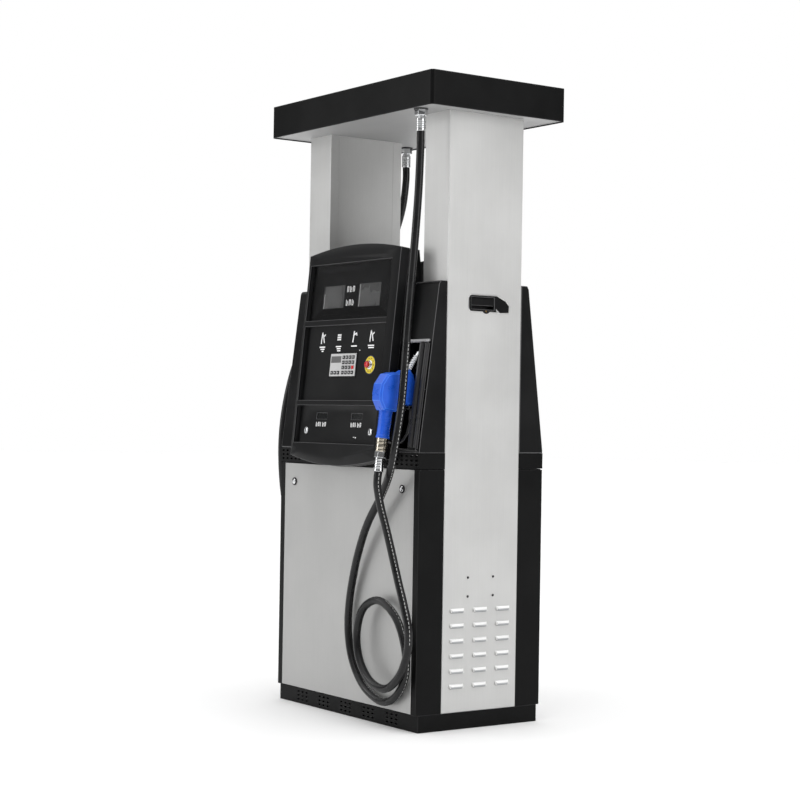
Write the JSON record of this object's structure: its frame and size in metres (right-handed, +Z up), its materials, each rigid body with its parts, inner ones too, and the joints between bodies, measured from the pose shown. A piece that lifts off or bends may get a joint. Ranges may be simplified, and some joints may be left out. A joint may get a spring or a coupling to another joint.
{
  "type": "fuel dispenser",
  "caption": "Two-sided fuel dispenser: brushed columns under a black canopy, sloping display heads, belt-driven pump, and a hose with a hand nozzle stored in a boot on each side.",
  "frame": {"origin": "centre of the plinth's underside, on the floor", "axes": "+X towards the column beside the front nozzle, -Y out of the front door, +Z up"},
  "size_m": [1.008, 0.7654, 2.2],
  "materials": {
    "base_black": "satin powder coat",
    "zinc_frame": "zinc plated",
    "stainless_cover": "fine brushed stainless sheet",
    "latch_plastic": "fine moulded grain",
    "canopy_black": "matt powder coat",
    "tray_grey": "satin light grey",
    "post_black": "fine textured powder coat",
    "door_silver": "brushed steel sheet",
    "door_lock_metal": "chromed core in a black rim",
    "band_black": "matt powder coat, perforated",
    "hood_plastic": "fine moulded grain",
    "case_black": "matt powder coat",
    "door_plastic": "fine moulded grain",
    "display_lens": "smoked window",
    "display_grey": "liquid crystal face in a black bezel",
    "keypad_metal": "metallic membrane with domed keys",
    "stop_yellow": "gloss yellow",
    "stop_red": "gloss red",
    "head_lock_metal": "chromed",
    "lever_steel": "bright zinc",
    "motor_paint": "machine enamel",
    "pulley_iron": "machined cast iron",
    "pump_iron": "grey painted casting",
    "belt_rubber": "matt rubber",
    "meter_aluminium": "cast aluminium",
    "pipe_steel": "bright plated steel",
    "electronics_box": "zinc coated sheet",
    "nozzle_aluminium": "cast and tumbled",
    "cover_blue": "soft vinyl, satin",
    "spout_chrome": "polished, with a wound spring",
    "trigger_steel": "zinc plated steel",
    "swivel_nickel": "nickel plated brass",
    "hose_rubber": "smooth extruded rubber with light print dashes"
  },
  "bodies": {
    "root": {"plinth": "base_black", "inner_frame": "zinc_frame", "column_right": "stainless_cover", "column_left": "stainless_cover", "end_covers": "stainless_cover", "latch_dishes": "latch_plastic", "canopy_cap": "canopy_black", "canopy_tray": "tray_grey", "corner_posts": "post_black", "front_door": "door_silver", "rear_door": "door_silver", "vent_band": "band_black", "nozzle_boot_front": "hood_plastic", "nozzle_boot_rear": "hood_plastic", "side_shoulders": "hood_plastic", "head_cabinet": "case_black", "motor": "motor_paint", "pump_unit": "pump_iron", "drive_belt": "belt_rubber", "flow_meters": "meter_aluminium", "pipework": "pipe_steel", "electronics": "electronics_box", "hose_front": "hose_rubber", "hose_rear": "hose_rubber"},
    "head_door_front": {"head_door_front": "door_plastic", "display_lens_front": "display_lens", "displays_front": "display_grey", "keypad_front": "keypad_metal", "stop_base_front": "stop_yellow"},
    "stop_button_front": {"stop_button_front": "stop_red"},
    "head_lock_fl": {"head_lock_fl": "head_lock_metal"},
    "head_lock_fr": {"head_lock_fr": "head_lock_metal"},
    "door_lock_fl": {"door_lock_fl": "door_lock_metal"},
    "door_lock_fr": {"door_lock_fr": "door_lock_metal"},
    "boot_lever_front": {"boot_lever_front": "lever_steel"},
    "nozzle_front": {"nozzle_body_front": "nozzle_aluminium", "nozzle_cover_front": "cover_blue", "nozzle_spout_front": "spout_chrome"},
    "nozzle_lever_front": {"nozzle_lever_front": "trigger_steel"},
    "nozzle_swivel_front": {"nozzle_swivel_front": "swivel_nickel"},
    "head_door_rear": {"head_door_rear": "door_plastic", "display_lens_rear": "display_lens", "displays_rear": "display_grey", "keypad_rear": "keypad_metal", "stop_base_rear": "stop_yellow"},
    "stop_button_rear": {"stop_button_rear": "stop_red"},
    "head_lock_rl": {"head_lock_rl": "head_lock_metal"},
    "head_lock_rr": {"head_lock_rr": "head_lock_metal"},
    "door_lock_rl": {"door_lock_rl": "door_lock_metal"},
    "door_lock_rr": {"door_lock_rr": "door_lock_metal"},
    "boot_lever_rear": {"boot_lever_rear": "lever_steel"},
    "nozzle_rear": {"nozzle_body_rear": "nozzle_aluminium", "nozzle_cover_rear": "cover_blue", "nozzle_spout_rear": "spout_chrome"},
    "nozzle_lever_rear": {"nozzle_lever_rear": "trigger_steel"},
    "nozzle_swivel_rear": {"nozzle_swivel_rear": "swivel_nickel"},
    "latch_lever_right": {"latch_lever_right": "latch_plastic"},
    "latch_lever_left": {"latch_lever_left": "latch_plastic"},
    "pump_pulley": {"pump_pulley": "pulley_iron"},
    "motor_pulley": {"motor_pulley": "pulley_iron"}
  },
  "joints": [
    {"name": "head_door_front_hinge", "type": "hinge", "parent": "root", "child": "head_door_front", "pos_m": [0, -0.2131, 1.63491], "axis": [-1, 0, 0], "range_deg": [0, 75]},
    {"name": "stop_button_front_push", "type": "slide", "parent": "head_door_front", "child": "stop_button_front", "axis": [0, 0.9949, -0.1011], "range_m": [0, 0.005], "stiffness_N_per_m": 900},
    {"name": "head_lock_fl_turn", "type": "hinge", "parent": "head_door_front", "child": "head_lock_fl", "pos_m": [-0.203, -0.30494, 0.99793], "axis": [0, -0.9949, 0.1011], "range_deg": [0, 90]},
    {"name": "head_lock_fr_turn", "type": "hinge", "parent": "head_door_front", "child": "head_lock_fr", "pos_m": [0.203, -0.30494, 0.99793], "axis": [0, -0.9949, 0.1011], "range_deg": [0, 90]},
    {"name": "door_lock_fl_turn", "type": "hinge", "parent": "root", "child": "door_lock_fl", "pos_m": [-0.34, -0.265, 0.809], "axis": [0, -1, 0], "range_deg": [0, 90]},
    {"name": "door_lock_fr_turn", "type": "hinge", "parent": "root", "child": "door_lock_fr", "pos_m": [0.34, -0.265, 0.809], "axis": [0, -1, 0], "range_deg": [0, 90]},
    {"name": "boot_lever_front_swing", "type": "hinge", "parent": "root", "child": "boot_lever_front", "pos_m": [0.342, -0.184, 0.985], "axis": [-1, 0, 0], "range_deg": [0, 25]},
    {"name": "nozzle_front_lift", "type": "slide", "parent": "root", "child": "nozzle_front", "axis": [0, -0.9397, 0.342], "range_m": [0, 0.15]},
    {"name": "nozzle_front_trigger", "type": "hinge", "parent": "nozzle_front", "child": "nozzle_lever_front", "pos_m": [0.342, -0.26926, 1.07827], "axis": [-1, 0, 0], "range_deg": [0, 12], "stiffness_Nm_per_rad": 1.5},
    {"name": "nozzle_front_swivel", "type": "hinge", "parent": "nozzle_front", "child": "nozzle_swivel_front", "pos_m": [0.342, -0.35404, 0.95528], "axis": [0, 0.1305, 0.9914], "continuous": true},
    {"name": "head_door_rear_hinge", "type": "hinge", "parent": "root", "child": "head_door_rear", "pos_m": [0, 0.2131, 1.63491], "axis": [1, 0, 0], "range_deg": [0, 75]},
    {"name": "stop_button_rear_push", "type": "slide", "parent": "head_door_rear", "child": "stop_button_rear", "axis": [0, -0.9949, -0.1011], "range_m": [0, 0.005], "stiffness_N_per_m": 900},
    {"name": "head_lock_rl_turn", "type": "hinge", "parent": "head_door_rear", "child": "head_lock_rl", "pos_m": [0.203, 0.30494, 0.99793], "axis": [0, 0.9949, 0.1011], "range_deg": [0, 90]},
    {"name": "head_lock_rr_turn", "type": "hinge", "parent": "head_door_rear", "child": "head_lock_rr", "pos_m": [-0.203, 0.30494, 0.99793], "axis": [0, 0.9949, 0.1011], "range_deg": [0, 90]},
    {"name": "door_lock_rl_turn", "type": "hinge", "parent": "root", "child": "door_lock_rl", "pos_m": [0.34, 0.265, 0.809], "axis": [0, 1, 0], "range_deg": [0, 90]},
    {"name": "door_lock_rr_turn", "type": "hinge", "parent": "root", "child": "door_lock_rr", "pos_m": [-0.34, 0.265, 0.809], "axis": [0, 1, 0], "range_deg": [0, 90]},
    {"name": "boot_lever_rear_swing", "type": "hinge", "parent": "root", "child": "boot_lever_rear", "pos_m": [-0.342, 0.184, 0.985], "axis": [1, 0, 0], "range_deg": [0, 25]},
    {"name": "nozzle_rear_lift", "type": "slide", "parent": "root", "child": "nozzle_rear", "axis": [0, 0.9397, 0.342], "range_m": [0, 0.15]},
    {"name": "nozzle_rear_trigger", "type": "hinge", "parent": "nozzle_rear", "child": "nozzle_lever_rear", "pos_m": [-0.342, 0.26926, 1.07827], "axis": [1, 0, 0], "range_deg": [0, 12], "stiffness_Nm_per_rad": 1.5},
    {"name": "nozzle_rear_swivel", "type": "hinge", "parent": "nozzle_rear", "child": "nozzle_swivel_rear", "pos_m": [-0.342, 0.35404, 0.95528], "axis": [0, -0.1305, 0.9914], "continuous": true},
    {"name": "latch_lever_right_pull", "type": "hinge", "parent": "root", "child": "latch_lever_right", "pos_m": [0.429, 0, 1.459], "axis": [0, -1, 0], "range_deg": [0, 35]},
    {"name": "latch_lever_left_pull", "type": "hinge", "parent": "root", "child": "latch_lever_left", "pos_m": [-0.429, 0, 1.459], "axis": [0, 1, 0], "range_deg": [0, 35]},
    {"name": "pump_pulley_spin", "type": "hinge", "parent": "root", "child": "pump_pulley", "pos_m": [-0.18, -0.15, 0.26], "axis": [0, 1, 0], "continuous": true},
    {"name": "motor_pulley_spin", "type": "hinge", "parent": "root", "child": "motor_pulley", "pos_m": [0.18, -0.15, 0.198], "axis": [0, 1, 0], "continuous": true}
  ],
  "couplings": [
    {"joint": "motor_pulley_spin", "follows": "pump_pulley_spin", "ratio": 2.5}
  ]
}
